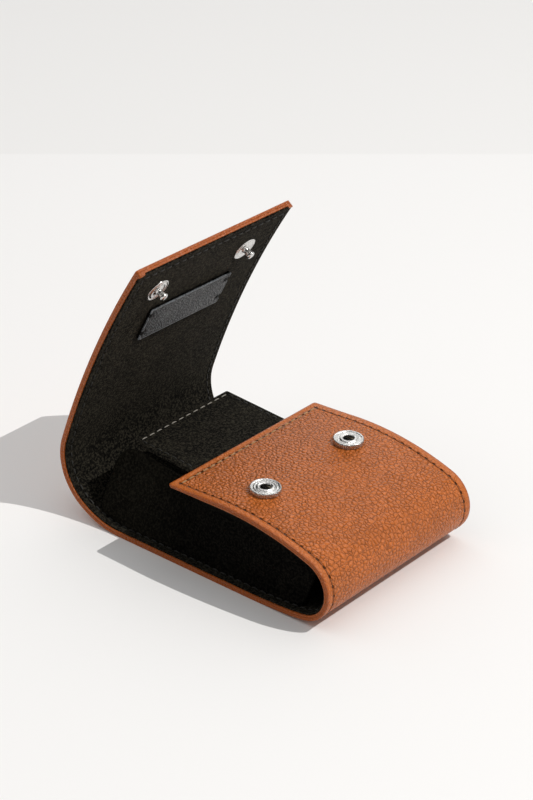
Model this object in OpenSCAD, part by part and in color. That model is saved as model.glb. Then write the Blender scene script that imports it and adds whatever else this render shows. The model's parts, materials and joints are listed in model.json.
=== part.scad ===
// Watch travel case: a leather shell that runs from a pocket round a nose, under the case,
// up round a heel and into a curved lid, with soft side walls, an inner flap and two snaps.
// X is across the case, the pocket's nose faces -Y and the lid stands at +Y.

/* [Case] */
// Width across the case
case_w = 80; // [60:1:110]
// Flat length of the underside
flat_len = 59.9; // [50:0.5:85]
// Length of the lid's curved panel, from the fold round the heel to the tip
lid_len = 90.1; // [80:0.1:100]

/* [Layers] */
// Thickness of the outer leather
leather_t = 1.2; // [0.8:0.1:1.8]
// Thickness of the reinforcement between leather and lining
board_t = 0.7; // [0.5:0.1:1.2]
// Thickness of the suede lining
lining_t = 0.7; // [0.5:0.1:1.2]
// Width of the turned edge along the sides
hem_w = 7; // [4:0.5:10]
// Width of the turned edge across the pocket mouth and the lid tip
mouth_hem = 2.2; // [1.5:0.1:6]
// How far the lining stays inside the leather's sides
lining_inset = 0.6; // [0.2:0.1:1.5]

/* [Folds] */
// Distance round the heel from the flat underside to the lower fold
low_fold_at = 15.2; // [10:0.1:18]
// Distance round the heel from the flat underside to the lid fold
lid_fold_at = 46.5; // [42:0.1:50]

/* [Snaps] */
// Distance from the middle of the case to each snap
snap_x = 22.8; // [14:0.1:28]
// Distance from the lid tip to the studs
stud_from_tip = 16.5; // [14:0.1:20]
// Distance from the pocket mouth to the sockets
socket_from_mouth = 30; // [26:0.1:34]
// Radius of the socket ring
socket_r = 5.65; // [4.8:0.05:7]
// Radius of the hole in the socket
socket_hole_r = 2.4; // [2.2:0.05:2.8]
// Radius of the stud's flange
stud_flange_r = 4.9; // [4:0.1:6]
// Gap between the stud's knob and the socket hole
knob_gap = 0.8; // [0.6:0.05:1]

/* [Patch] */
// Length of the bare leather patch, across the lid
patch_w = 42; // [25:1:50]
// Height of the patch, along the lid
patch_h = 16.3; // [10:0.1:20]
// Thickness of the patch
patch_t = 1; // [0.6:0.1:1.4]
// Distance from the lid tip to the patch
patch_from_tip = 27.5; // [24:0.5:34]

/* [Inner flap] */
// Width of the inner flap
flap_w = 48.4; // [36:0.2:49]
// How far the flap reaches behind the pocket mouth
flap_reach = 29.5; // [20:0.5:31]
// Thickness of each suede face of the flap
flap_face_t = 0.5; // [0.3:0.1:0.8]
// Thickness of the flap's core
flap_core_t = 0.8; // [0.5:0.1:1.2]

/* [Side walls] */
// Thickness of a side wall
side_t = 1.3; // [0.8:0.1:2]
// Distance from the case's side to the foot of a side wall
side_inset = 4.2; // [3:0.1:6]
// Height of a side wall at its rear
side_h = 29.2; // [24:0.2:29.4]
// Distance across a side wall's lean, from foot to top
side_lean = 9.5; // [7:0.1:10.5]

/* [Hidden] */

$fn = 64;
// A sliver by which a cutter runs past a face
past = 0.5;

// Colours
tan_leather = [0.70, 0.35, 0.17];
black_suede = [0.07, 0.07, 0.07];
grey_board = [0.45, 0.42, 0.38];
grey_leather = [0.22, 0.23, 0.24];
nickel = [0.78, 0.77, 0.75];

// Bends of the outer leather, each [radius, turn in degrees], as seen from the -X side
heel_bends = [[33, 35], [21.5, 75], [372, 13.6]];
nose_bends = [[272, 4.4], [67, 5.8], [12.7, 150], [112, 23.5], [600, -1.8]];

wall_t = leather_t + board_t + lining_t;
step = 2;

function left_of(h) = [-sin(h), cos(h)];
function bend_len(b) = b[0]*abs(b[1])*PI/180;
function bends_len(bends, i = 0) = i == len(bends) ? 0 : bend_len(bends[i]) + bends_len(bends, i + 1);
// The point a distance d along a run of bends that starts at p with heading h, off to its left
function on_bends(bends, d, off, p = [0, 0], h = 0, i = 0) =
    let (b = bends[i], side = sign(b[1]), len_i = bend_len(b), c = p + side*b[0]*left_of(h))
    (i == len(bends) - 1 || d <= len_i)
    ? let (t = b[1]*d/len_i) c - (side*b[0] - off)*left_of(h + t)
    : on_bends(bends, d - len_i, off, c - side*b[0]*left_of(h + b[1]), h + b[1], i + 1);
// The heading there
function bends_heading(bends, d, h = 0, i = 0) =
    let (b = bends[i], len_i = bend_len(b))
    (i == len(bends) - 1 || d <= len_i) ? h + b[1]*d/len_i : bends_heading(bends, d - len_i, h + b[1], i + 1);

nose_len = bends_len(nose_bends);
// How far the heel and the nose reach past the flat underside
heel_reach = max([for (d = [0:0.5:60]) on_bends(heel_bends, d, 0)[0]]);
nose_reach = max([for (d = [0:0.5:60]) on_bends(nose_bends, d, 0)[0]]);
case_len = heel_reach + flat_len + nose_reach;
heel_y = case_len/2 - heel_reach;
nose_y = nose_reach - case_len/2;

// A place on the shell: s runs along the outer leather from 0 where the heel starts to bend,
// positive up the lid and negative along the underside, round the nose and over the pocket.
// off is the depth below the outer face. It gives [Y, Z].
function shell(s, off) =
    s >= 0 ? [heel_y, 0] + on_bends(heel_bends, s, off)
    : s > -flat_len ? [heel_y + s, off]
    : let (q = on_bends(nose_bends, -s - flat_len, off)) [nose_y - q[0], q[1]];
// The turn about X that takes +Z to the outer face's outward normal there
function shell_turn(s) =
    s >= 0 ? bends_heading(heel_bends, s) - 180
    : s > -flat_len ? 180
    : 180 - bends_heading(nose_bends, -s - flat_len);

mouth_s = -flat_len - nose_len;
tip_s = lid_fold_at + lid_len;
socket_s = mouth_s + socket_from_mouth;
stud_s = tip_s - stud_from_tip;
patch_s = tip_s - patch_from_tip - patch_h;

// Half the gap in the layers at a fold, and the round roll on the fold's axis that fills it
fold_gap = wall_t/2 + 0.2;
roll_r = wall_t/2;

// The shell is drawn with flats between stations a step apart, the same for every layer, so
// layers lie face to face. A strip's ends are on those flats too.
function on_flat(s, off) =
    let (low = step*floor(s/step), part = (s - low)/step)
    shell(low, off)*(1 - part) + shell(low + step, off)*part;
function stations(a, b) = concat([a], [for (i = [floor(a/step) + 1:ceil(b/step) - 1]) i*step], [b]);

// A strip of the shell from a to b along it, between two depths, w wide
module strip(a, b, off_a, off_b, w) {
    line = stations(a, b);
    back = [for (i = [len(line) - 1:-1:0]) line[i]];
    rotate([90, 0, 90])
        linear_extrude(w, center = true)
            polygon(concat([for (s = line) on_flat(s, off_a)], [for (s = back) on_flat(s, off_b)]));
}

// The frame of a place on the shell: origin on the face at depth off, +Z out of the case
module on_shell(s, off, x) {
    p = shell(s, off);
    translate([x, p[0], p[1]])
        rotate([shell_turn(s), 0, 0])
            children();
}

module bore_through(r) {
    cylinder(r = r, h = 2*(wall_t + past), center = true);
}

module both_snaps() {
    for (side = [-1, 1]) {
        translate([side*snap_x, 0, 0]) children();
    }
}

lining_w = case_w - 2*lining_inset;
core_w = case_w - 2*hem_w;

// Leather with its edges turned in: full thickness at the edges, hollow where the board lies
module turned_leather(a, b, hollow_a, hollow_b) {
    difference() {
        strip(a, b, 0, leather_t + board_t, case_w);
        strip(hollow_a, hollow_b, leather_t, leather_t + board_t + past, core_w);
    }
}

// ---- Sockets on the pocket ----
socket_h = 1.8;
socket_seat = 0.25;
eyelet_wall = 0.5;
eyelet_r = socket_hole_r + eyelet_wall;
eyelet_flange_r = socket_r - 1.1;
eyelet_flange_t = 0.4;
eyelet_seat = 0.15;
barrel_top = 0.5;
spring_r = 0.2;
spring_x = socket_hole_r - 0.35;
groove_r = socket_hole_r + 0.8;
groove_top = 1.1;
bore_gap = 0.05;

module socket_cuts() {
    both_snaps() {
        on_shell(socket_s, 0, 0) {
            bore_through(eyelet_r + bore_gap);
            translate([0, 0, -socket_seat]) cylinder(r = socket_r, h = socket_seat + past);
        }
    }
}

module eyelet_seats() {
    both_snaps()
        on_shell(socket_s, wall_t, 0)
            translate([0, 0, -past]) cylinder(r = eyelet_flange_r + bore_gap, h = past + eyelet_seat);
}

module socket_ring(x) {
    color(nickel)
        on_shell(socket_s, 0, x)
            rotate_extrude()
                polygon([[eyelet_r, -socket_seat], [socket_r - 0.85, -socket_seat], [socket_r - 0.85, 0.5],
                    [socket_r - 0.3, 0.65], [socket_r, 0.9], [socket_r, 1.25], [socket_r - 0.25, 1.5],
                    [socket_r - 0.8, 1.5], [socket_r - 1.3, 1.3], [socket_r - 2, 1.4],
                    [socket_hole_r + 0.75, socket_h], [socket_hole_r + 0.25, socket_h],
                    [socket_hole_r, socket_h - 0.25], [socket_hole_r, groove_top],
                    [groove_r, groove_top], [groove_r, barrel_top], [eyelet_r, barrel_top]]);
}

module socket_eyelet(x) {
    bottom = -wall_t + eyelet_seat - eyelet_flange_t;
    color(nickel)
        on_shell(socket_s, 0, x)
            rotate_extrude()
                polygon([[socket_hole_r, bottom], [eyelet_flange_r, bottom],
                    [eyelet_flange_r, bottom + eyelet_flange_t], [eyelet_r, bottom + eyelet_flange_t],
                    [eyelet_r, barrel_top], [socket_hole_r, barrel_top]]);
}

module socket_springs() {
    reach = sqrt(groove_r*groove_r - (spring_x + spring_r)*(spring_x + spring_r)) - bore_gap;
    color(nickel)
        both_snaps()
            on_shell(socket_s, 0, 0)
                for (side = [-1, 1]) {
                    translate([side*spring_x, 0, barrel_top + spring_r])
                        rotate([90, 0, 0])
                            cylinder(r = spring_r, h = 2*reach, center = true, $fn = 24);
                }
}

// ---- Studs on the lid ----
stud_seat = 0.1;
flange_t = 0.5;
ring_h = 0.25;
post_h = 4.2;
knob_r = socket_hole_r - knob_gap;
neck_r = knob_r - 0.45;
rivet_r = 0.8;
rivet_head_r = 3.5;
rivet_head_t = board_t/2;
rivet_depth = 2.8;

// The stud's frame: +Z into the case from the lid lining's face
module on_lid_face(x) {
    p = shell(stud_s, wall_t);
    translate([x, p[0], p[1]])
        rotate([shell_turn(stud_s) + 180, 0, 0])
            children();
}

module stud_cuts() {
    both_snaps()
        on_lid_face(0) {
            cylinder(r = rivet_r + bore_gap, h = 2*(board_t + lining_t), center = true);
            translate([0, 0, -stud_seat]) cylinder(r = stud_flange_r + bore_gap, h = past + stud_seat);
        }
}

module rivet_head_cuts() {
    both_snaps()
        on_lid_face(0)
            translate([0, 0, -lining_t - board_t - past])
                cylinder(r = rivet_head_r + bore_gap, h = past + bore_gap + rivet_head_t);
}

module stud(x) {
    color(nickel)
        on_lid_face(x)
            difference() {
                rotate_extrude()
                    polygon([[0, -stud_seat], [stud_flange_r, -stud_seat], [stud_flange_r, flange_t - 0.3],
                        [stud_flange_r - 0.25, flange_t - 0.1], [stud_flange_r - 1, flange_t - 0.15],
                        [stud_flange_r - 1.4, flange_t], [knob_r + 0.4, flange_t],
                        [neck_r, flange_t + ring_h], [neck_r, post_h - 1.7], [knob_r, post_h - 1.1],
                        [knob_r, post_h - 0.6], [knob_r - 0.25, post_h - 0.2], [knob_r - 0.7, post_h],
                        [0, post_h]]);
                translate([0, 0, -past]) cylinder(r = rivet_r + bore_gap, h = past + rivet_depth + bore_gap);
            }
}

module stud_rivet(x) {
    color(nickel)
        on_lid_face(x)
            translate([0, 0, bore_gap - lining_t - board_t]) {
                cylinder(r = rivet_head_r, h = rivet_head_t);
                cylinder(r = rivet_r, h = lining_t + board_t + rivet_depth - bore_gap);
            }
}

// ---- Shell, from the pocket mouth to the lower fold ----
module shell_leather() {
    color(tan_leather)
        difference() {
            turned_leather(mouth_s, low_fold_at - fold_gap, mouth_s + mouth_hem, low_fold_at);
            socket_cuts();
        }
}

module shell_reinforcement() {
    color(grey_board)
        difference() {
            strip(mouth_s + mouth_hem, low_fold_at - fold_gap, leather_t, leather_t + board_t, core_w);
            socket_cuts();
        }
}

module shell_lining() {
    color(black_suede)
        difference() {
            strip(mouth_s, low_fold_at - fold_gap, leather_t + board_t, wall_t, lining_w);
            socket_cuts();
            eyelet_seats();
        }
}

// ---- Heel, between the two folds ----
module roll(s) {
    p = shell(s, roll_r);
    translate([0, p[0], p[1]])
        rotate([0, 90, 0])
            cylinder(r = roll_r, h = case_w, center = true);
}

module heel_leather() {
    color(tan_leather)
        union() {
            turned_leather(low_fold_at + fold_gap, lid_fold_at - fold_gap,
                low_fold_at, lid_fold_at);
            strip(low_fold_at, lid_fold_at, 0, leather_t, case_w);
            roll(low_fold_at);
            roll(lid_fold_at);
        }
}

module heel_reinforcement() {
    color(grey_board)
        strip(low_fold_at + fold_gap, lid_fold_at - fold_gap, leather_t, leather_t + board_t, core_w);
}

module heel_lining() {
    color(black_suede)
        strip(low_fold_at + fold_gap, lid_fold_at - fold_gap, leather_t + board_t, wall_t, lining_w);
}

// ---- Lid, from the lid fold to the tip ----
module lid_leather() {
    color(tan_leather)
        union() {
            turned_leather(lid_fold_at + fold_gap, tip_s, lid_fold_at, tip_s - mouth_hem);
            strip(tip_s - mouth_hem, tip_s, leather_t, wall_t, case_w);
        }
}

module lid_reinforcement() {
    color(grey_board)
        difference() {
            strip(lid_fold_at + fold_gap, tip_s - mouth_hem, leather_t, leather_t + board_t, core_w);
            stud_cuts();
            rivet_head_cuts();
        }
}

module lid_lining() {
    color(black_suede)
        difference() {
            strip(lid_fold_at + fold_gap, tip_s - mouth_hem, leather_t + board_t, wall_t, lining_w);
            stud_cuts();
        }
}

module lid_patch() {
    color(grey_leather)
        strip(patch_s, patch_s + patch_h, wall_t, wall_t + patch_t, patch_w);
}

// ---- Side walls ----
// Heights of the lining's face, as [y, z] rows: on the underside, and under the pocket
floor_rows = [for (s = [-flat_len - 28:step:low_fold_at]) on_flat(s, wall_t)];
pocket_rows = [for (s = [mouth_s:step:mouth_s + 64]) on_flat(s, wall_t)];

side_clear = 0.3;
mouth_y = shell(mouth_s, wall_t)[0];
side_rear_y = heel_y + 11.3;
side_front_y = nose_y - 24;
side_foot_x = case_w/2 - side_inset;
side_top_x = side_foot_x - side_lean;
// Under the pocket the top leans in by a little, and by more from side_turn_y to the mouth
side_tuck = 2;
side_mouth_lean = side_lean - 3;
side_turn_y = -20;
side_under_y = mouth_y - 2;

// Each row: y, distance of the outer face from the middle at the top, height of the top
function side_row(y) =
    let (part = max(0, (y - side_turn_y)/(side_under_y - side_turn_y)))
    [y, side_foot_x - side_tuck - (side_mouth_lean - side_tuck)*part, lookup(y, pocket_rows) - side_clear];
side_rows = concat(
    [for (f = [0:0.125:1]) side_row(side_front_y + (side_under_y - side_front_y)*f)],
    [[mouth_y + 3, side_top_x + 1, side_h - 2], [mouth_y + 14, side_top_x, side_h - 2],
        [side_rear_y - 6.7, side_top_x, side_h], [side_rear_y - 3.7, side_top_x + 0.5, side_h - 1.2],
        [side_rear_y - 1.2, side_top_x + 1.6, side_h - 4.2], [side_rear_y, side_top_x + 3, side_h - 8.2]]);

module side_wall(side) {
    n = len(side_rows);
    points = [for (r = side_rows)
        for (q = [[side_foot_x, lookup(r[0], floor_rows)], [r[1], r[2]], [r[1] - side_t, r[2]],
                [side_foot_x - side_t, lookup(r[0], floor_rows)]])
            [side*q[0], r[0], q[1]]];
    // Each quad is two triangles, split the same way on both walls
    sides = [for (i = [0:n - 2]) for (k = [0:3])
        let (a = 4*i + k, b = 4*i + (k + 1)%4)
        each [[a, b, b + 4], [a, b + 4, a + 4]]];
    last = 4*(n - 1);
    faces = concat(sides, [[3, 2, 1], [3, 1, 0], [last, last + 1, last + 2], [last, last + 2, last + 3]]);
    flipped = [for (f = faces) [f[2], f[1], f[0]]];
    color(black_suede)
        polyhedron(points, side > 0 ? faces : flipped);
}

// ---- Inner flap ----
flap_t = 2*flap_face_t + flap_core_t;
flap_fold_s = mouth_s + 36.4;
flap_root_len = 10;
flap_gap = 0.35;
flap_corner = 3;
flap_top = 31.9;
flap_hinge = shell(flap_fold_s, wall_t + flap_t/2 + 0.1);
flap_tail_y = mouth_y + flap_reach;
flap_tail_z = flap_top - flap_t/2;
flap_dip_y = mouth_y - 4;
flap_dip_z = shell(mouth_s, wall_t)[1] - flap_t/2 - flap_gap - 0.15;

// The flap's line from its fold, down under the pocket mouth and up to its rear edge
function flap_line(off) = [
    flap_hinge + [0, off],
    [flap_dip_y - 3, flap_dip_z + 0.15 + off],
    [flap_dip_y + 2, flap_dip_z + off],
    [flap_dip_y + 6, flap_dip_z + 0.35 + off],
    [flap_tail_y, flap_tail_z + off]];

module flap_outline() {
    front_y = flap_hinge[0] - flap_t;
    translate([-flap_w/2, front_y])
        square([flap_w, flap_tail_y - flap_corner - front_y]);
    translate([-flap_w/2 + flap_corner, front_y])
        square([flap_w - 2*flap_corner, flap_tail_y - front_y]);
    for (side = [-1, 1]) {
        translate([side*(flap_w/2 - flap_corner), flap_tail_y - flap_corner]) circle(flap_corner);
    }
}

module flap_layer(low, high) {
    top = flap_line(high);
    intersection() {
        rotate([90, 0, 90])
            linear_extrude(flap_w, center = true)
                polygon(concat(flap_line(low), [for (i = [len(top) - 1:-1:0]) top[i]]));
        linear_extrude(2*flap_top) flap_outline();
    }
}

module flap_top_face() {
    color(black_suede)
        flap_layer(flap_core_t/2, flap_t/2);
}

module flap_core() {
    color(grey_board)
        union() {
            flap_layer(-flap_core_t/2, flap_core_t/2);
            translate([0, flap_hinge[0], flap_hinge[1]])
                rotate([0, 90, 0])
                    cylinder(r = flap_core_t/2, h = flap_w, center = true);
        }
}

module flap_under_face() {
    color(black_suede)
        flap_layer(-flap_t/2, -flap_core_t/2);
}

module flap_root() {
    color(black_suede)
        strip(flap_fold_s + flap_t/2 + flap_gap, flap_fold_s + flap_t/2 + flap_gap + flap_root_len,
            wall_t, wall_t + flap_t, flap_w);
}

shell_leather();
shell_reinforcement();
shell_lining();
side_wall(-1);  // side_wall_left
side_wall(1);  // side_wall_right
flap_root();
socket_ring(-snap_x);  // socket_left
socket_ring(snap_x);  // socket_right
socket_eyelet(-snap_x);  // socket_eyelet_left
socket_eyelet(snap_x);  // socket_eyelet_right
socket_springs();
heel_leather();
heel_reinforcement();
heel_lining();
lid_leather();
lid_reinforcement();
lid_lining();
lid_patch();
stud(-snap_x);  // stud_left
stud(snap_x);  // stud_right
stud_rivet(-snap_x);  // stud_rivet_left
stud_rivet(snap_x);  // stud_rivet_right
flap_top_face();
flap_core();
flap_under_face();
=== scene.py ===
"""Watch travel case: tan pebbled leather outside, black suede inside, two snaps.

Most pieces are laid out flat, outer face up, and rolled round the case along one path. X runs
across the case. On the flat layout y runs from the pocket mouth, round the nose, under the case,
round the heel and up the lid, and z is the height above the leather's outer face.
"""

import json
import math

import bmesh
import bpy
from mathutils import Matrix, Vector

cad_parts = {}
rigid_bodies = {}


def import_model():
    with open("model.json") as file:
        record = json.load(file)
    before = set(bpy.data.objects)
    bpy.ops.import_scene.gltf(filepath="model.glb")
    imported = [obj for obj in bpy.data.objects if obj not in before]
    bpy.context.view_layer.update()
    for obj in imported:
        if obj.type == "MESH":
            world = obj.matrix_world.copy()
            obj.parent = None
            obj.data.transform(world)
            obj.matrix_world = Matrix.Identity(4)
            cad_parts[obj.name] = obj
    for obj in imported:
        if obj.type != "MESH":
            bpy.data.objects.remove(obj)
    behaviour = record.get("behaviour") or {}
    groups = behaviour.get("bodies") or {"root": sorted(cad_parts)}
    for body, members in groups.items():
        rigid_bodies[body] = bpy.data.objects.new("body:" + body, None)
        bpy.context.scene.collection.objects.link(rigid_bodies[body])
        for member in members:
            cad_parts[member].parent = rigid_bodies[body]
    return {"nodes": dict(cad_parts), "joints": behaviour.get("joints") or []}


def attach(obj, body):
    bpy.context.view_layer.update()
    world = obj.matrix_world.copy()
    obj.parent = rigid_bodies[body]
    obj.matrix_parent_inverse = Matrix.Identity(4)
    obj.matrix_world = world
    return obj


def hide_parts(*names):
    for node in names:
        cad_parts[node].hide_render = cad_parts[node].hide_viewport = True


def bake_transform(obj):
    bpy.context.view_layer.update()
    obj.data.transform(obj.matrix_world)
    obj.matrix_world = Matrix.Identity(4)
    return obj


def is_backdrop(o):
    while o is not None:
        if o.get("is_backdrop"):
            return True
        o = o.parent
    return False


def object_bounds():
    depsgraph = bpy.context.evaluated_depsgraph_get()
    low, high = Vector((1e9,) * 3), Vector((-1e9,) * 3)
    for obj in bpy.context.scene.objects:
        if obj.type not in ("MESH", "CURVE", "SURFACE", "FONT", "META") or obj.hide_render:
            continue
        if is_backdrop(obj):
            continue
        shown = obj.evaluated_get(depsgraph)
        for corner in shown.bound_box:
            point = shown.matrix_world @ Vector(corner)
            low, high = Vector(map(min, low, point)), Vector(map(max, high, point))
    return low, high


bl_info = {
    "name": "Watch Travel Case",
    "version": (1, 0, 0),
    "blender": (4, 5, 0),
    "location": "View3D > Sidebar > Watch Case",
    "description": "Models a leather travel case for one wristwatch, piece by piece",
    "category": "Mesh",
}

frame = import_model()
CAD_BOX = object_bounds()
MM = 0.001

# The leather's bends, each (radius, turn in degrees), from the flat underside outwards
HEEL_BENDS = ((33, 35), (21.5, 75), (372, 13.6))
NOSE_BENDS = ((272, 4.4), (67, 5.8), (12.7, 150), (112, 23.5), (600, -1.8))
FLAT_LEN = 59.9
HEEL_Y, NOSE_Y = 34.9236, -24.9764

MOUTH_S = -FLAT_LEN - sum(r * math.radians(abs(t)) for r, t in NOSE_BENDS)
TIP_S = 136.6
# The case is made in two lengths that meet half way up the heel
SEAM_S = 31.0
# The path starts this far before the pocket mouth
RUN_IN = 8.0

# Depths below the leather's outer face
LEATHER_T, HEM_T, WALL_T = 1.2, 1.9, 2.6
HALF_W = 40.0
HEM_W = 7.0
TIP_HEM = 2.2
LINING_HALF_W = 39.4
LINING_SHORT = 0.5
# The shell's board ends at the lower fold of the heel
BOARD_END_S = 13.7
# Snaps: how far each is from the case's middle line, and from the mouth and the lid's tip
SNAP_X, SOCKET_IN, STUD_IN = 22.8, 30, 16.5
EYELET_HOLE_R = 2.95
# The case is pared thin at the pocket mouth, and has its full thickness this far from it
PARED, PARED_OVER = 0.42, 28.0
# How far apart a flat layout's rows are, on the shell and on the small pieces
FINE_STEP, SMALL_STEP = 1.3, 1.6
# A point this near a line lies on it, and one within GROOVE_HALF lies in the groove beside it
ON_LINE, GROOVE_HALF = 0.05, 0.35
# How far off the backdrop turns up behind the case, in metres, and which way that is; the floor stays
# flat and is painted greyer past there, as painted shade
BACKDROP_AT, BACKDROP_WAY = 0.3560, (0.7584, 0.6518, 0.0)
# Stitches from the middle of an end to the row along a side
STITCHES_OUT = 10
# At each fold, the way that the shell runs there and how far its bend reaches, in metres
FOLD_WAYS = {"heel": Vector((0, 0.896, 0.445)), "lid": Vector((0, -0.262, 0.965))}
FOLD_REACH = 0.009


# ---- The shell's line, as the CAD has it ----


def left_of(heading):
    a = math.radians(heading)
    return Vector((-math.sin(a), math.cos(a)))


def on_bends(bends, distance, depth):
    """The point and heading a distance along a run of bends that starts at the origin."""
    here, heading = Vector((0, 0)), 0.0
    for i, (radius, turn) in enumerate(bends):
        length, side = radius * math.radians(abs(turn)), math.copysign(1, turn)
        centre = here + side * radius * left_of(heading)
        if distance <= length or i == len(bends) - 1:
            now = heading + turn * distance / length
            return centre - (side * radius - depth) * left_of(now), now
        here, heading = centre - side * radius * left_of(heading + turn), heading + turn
        distance -= length


def shell_point(s, depth=0.0):
    """Y and Z, in millimetres, of a place on the shell."""
    if s >= 0:
        q = on_bends(HEEL_BENDS, s, depth)[0]
        return Vector((HEEL_Y + q.x, q.y))
    if s > -FLAT_LEN:
        return Vector((HEEL_Y + s, depth))
    q = on_bends(NOSE_BENDS, -s - FLAT_LEN, depth)[0]
    return Vector((NOSE_Y - q.x, q.y))


def shell_turn(s):
    """The turn about X, in degrees, that takes +Z to the outward normal there."""
    if s >= 0:
        return on_bends(HEEL_BENDS, s, 0)[1] - 180
    if s > -FLAT_LEN:
        return 180
    return 180 - on_bends(NOSE_BENDS, -s - FLAT_LEN, 0)[1]


def flat_y(s):
    """Where a place on the shell lies on the flat layout, in millimetres."""
    return s - MOUTH_S + RUN_IN


def pared(y):
    """The share of their full depth that the layers keep at a place on the flat layout."""
    t = min(1.0, max(0.0, (y - RUN_IN) / PARED_OVER))
    return 1 - PARED * (1 - t * t * (3 - 2 * t))


# ---- Settings ----


def length_of(name, description, default):
    return bpy.props.FloatProperty(name=name, description=description, default=default, unit="LENGTH")


def colour_of(name, description, *default):
    return bpy.props.FloatVectorProperty(
        name=name, description=description, subtype="COLOR", default=default
    )


class CaseSizes(bpy.types.PropertyGroup):
    stitch_inset: length_of("Stitch inset", "From the leather's edge to the stitch row", 0.0032)
    stitch_pitch: length_of("Stitch pitch", "From one needle hole to the next", 0.00368)
    stitch_length: length_of("Stitch length", "Thread that shows between two holes", 0.0027)
    thread: length_of("Thread", "Diameter of the sewing thread", 0.0006)
    edge_round: length_of("Edge rounding", "Radius of the turned leather edge", 0.0009)
    groove: length_of("Stitch groove", "How deep the stitches pull the leather in", 0.00028)
    grain: length_of("Grain", "Size of a pebble of the leather's grain", 0.00168)
    knurls: bpy.props.IntProperty(name="Knurls", description="Teeth round a socket's rim", default=46)


class CaseColours(bpy.types.PropertyGroup):
    leather: colour_of("Leather", "Tan leather", 0.580, 0.146, 0.0215)
    suede: colour_of("Suede", "Black suede", 0.0104, 0.0092, 0.0066)
    # Painted shade: a darkened copy of the suede, for the side walls and the padding
    wall_suede: colour_of("Wall suede", "Darker suede of the side walls", 0.0026, 0.0023, 0.0018)
    patch: colour_of("Patch", "Smooth patch leather", 0.022, 0.024, 0.026)
    board: colour_of("Board", "Reinforcement board", 0.20, 0.16, 0.12)
    nickel: colour_of("Nickel", "Plated snaps", 0.72, 0.71, 0.69)
    spring: colour_of("Spring", "Spring wire in the sockets", 0.74, 0.64, 0.46)
    # Painted shade: the tan thread is darkened, as if sunk in its stitch groove
    tan_thread: colour_of("Tan thread", "Thread on the leather", 0.30, 0.090, 0.024)
    # Painted highlight: the tan thread painted paler where it crosses the pocket's mouth
    cream_thread: colour_of("Cream thread", "Thread across the pocket's mouth", 0.47, 0.29, 0.14)
    black_thread: colour_of("Black thread", "Thread on the suede", 0.026, 0.025, 0.022)
    # Painted highlight: the flap's end row is painted pale on top; the same stitches are black thread
    # underneath and along the sides
    pale_thread: colour_of("Pale thread", "Thread that crosses the flap's end", 0.40, 0.37, 0.32)
    patch_thread: colour_of("Patch thread", "Thread at the patch's corners", 0.003, 0.003, 0.003)
    floor: colour_of("Floor", "Pale floor", 0.885, 0.877, 0.868)
    # Painted shade: the greyer floor past the backdrop line stands in for the wall behind, which gets
    # less light
    wall: colour_of("Wall", "Pale wall behind", 0.850, 0.843, 0.832)


# ---- Materials ----


def maths(operation, swapped=False):
    """A method that adds one Math node."""

    def method(self, *others):
        values = (*others, self) if swapped else (self, *others)
        return self.nodes.node("ShaderNodeMath", {"operation": operation}, dict(enumerate(values)))

    return method


class Wire:
    """One value in a material. Python's arithmetic on it adds Math nodes."""

    def __init__(self, nodes, socket):
        self.nodes, self.socket = nodes, socket

    __add__ = __radd__ = maths("ADD")
    __sub__, __rsub__ = maths("SUBTRACT"), maths("SUBTRACT", swapped=True)
    __mul__ = __rmul__ = maths("MULTIPLY")
    __pow__, __abs__ = maths("POWER"), maths("ABSOLUTE")
    __lt__, __gt__ = maths("LESS_THAN"), maths("GREATER_THAN")
    least, most, rounded = maths("MINIMUM"), maths("MAXIMUM"), maths("ROUND")

    def to_whole(self):
        """Distance to the nearest whole number."""
        return abs(self - self.rounded())


class Nodes:
    """The nodes of a material, a lamp or the world. Each of them comes from the one method."""

    def __init__(self, owner):
        owner.use_nodes = True
        self.tree = owner.node_tree

    def node(self, kind, settings=None, inputs=None, output=0):
        made = self.tree.nodes.new(kind)
        for name, value in (settings or {}).items():
            setattr(made, name, value)
        for name, value in (inputs or {}).items():
            if isinstance(value, Wire):
                self.tree.links.new(value.socket, made.inputs[name])
            else:
                made.inputs[name].default_value = value
        return Wire(self, made.outputs[output])

    def smooth(self, value, low, high, to_low=0.0, to_high=1.0):
        return self.node(
            "ShaderNodeMapRange",
            {"interpolation_type": "SMOOTHSTEP"},
            {"Value": value, "From Min": low, "From Max": high, "To Min": to_low, "To Max": to_high},
        )

    def vector(self, operation, *values, output=0, **inputs):
        """Vector arithmetic."""
        inputs.update(enumerate(values))
        return self.node("ShaderNodeVectorMath", {"operation": operation}, inputs, output)

    def part(self, vector, index):
        """One component of a vector."""
        return self.node("ShaderNodeSeparateXYZ", None, {0: vector}, index)

    def connect(self, wire, name, socket):
        """Feed a wire to a node that Blender made."""
        self.tree.links.new(wire.socket, self.tree.nodes[name].inputs[socket])


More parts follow.
